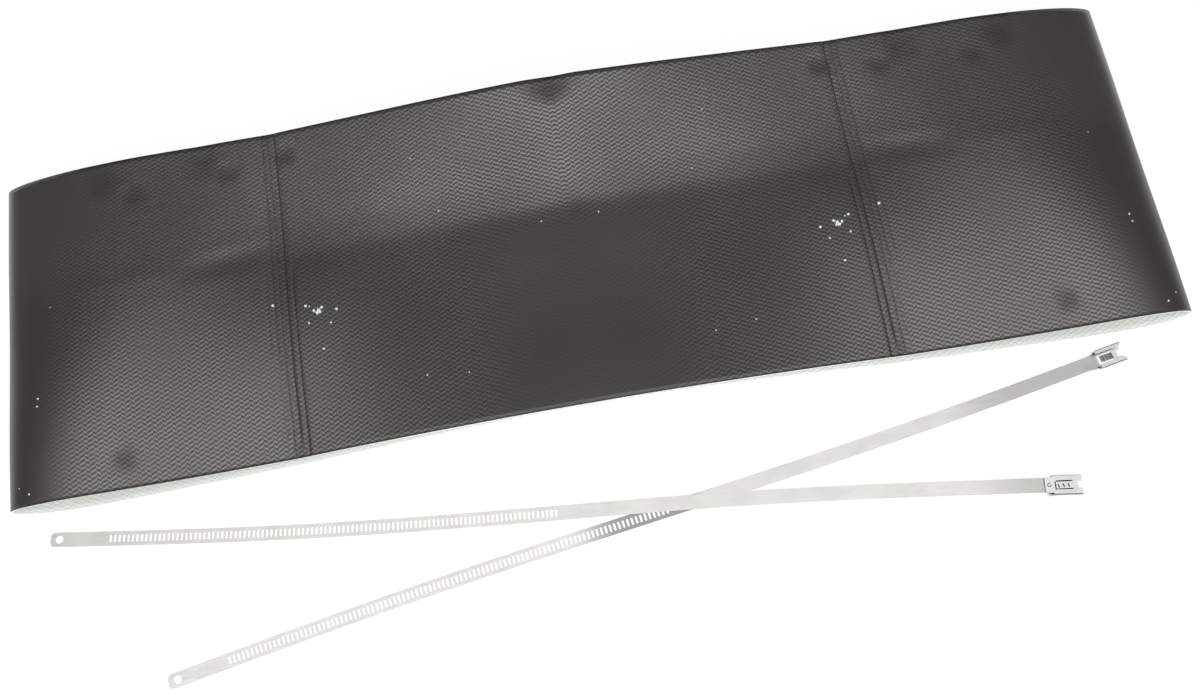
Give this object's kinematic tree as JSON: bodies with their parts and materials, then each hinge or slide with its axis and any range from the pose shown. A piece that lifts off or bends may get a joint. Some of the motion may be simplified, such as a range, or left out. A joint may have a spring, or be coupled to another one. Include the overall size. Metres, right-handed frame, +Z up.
{
  "type": "starter heat shield",
  "caption": "Flexible heat shield sheet folded into a flat loop, black embossed outside and white glass cloth inside, with stainless ladder ties that fasten it round a starter motor.",
  "frame": {"origin": "under the middle of the whole layout, on the surface that it lies on", "axes": "+X along the sheet's length and the ties, +Y from the ties towards the sheet, +Z up"},
  "size_m": [0.61, 0.2762, 0.0465],
  "materials": {
    "coated_cloth": "black coated and embossed woven cloth with a satin sheen",
    "glass_cloth": "white woven glass cloth, the sheet's inner face and cut edges",
    "stainless_strip": "bright rolled stainless strip",
    "stainless_buckle": "pressed stainless sheet"
  },
  "bodies": {
    "root": {"shield_sheet": "coated_cloth", "first_tie_strap": "stainless_strip", "first_tie_buckle": "stainless_buckle", "second_tie_strap": "stainless_strip", "second_tie_buckle": "stainless_buckle"}
  },
  "joints": []
}
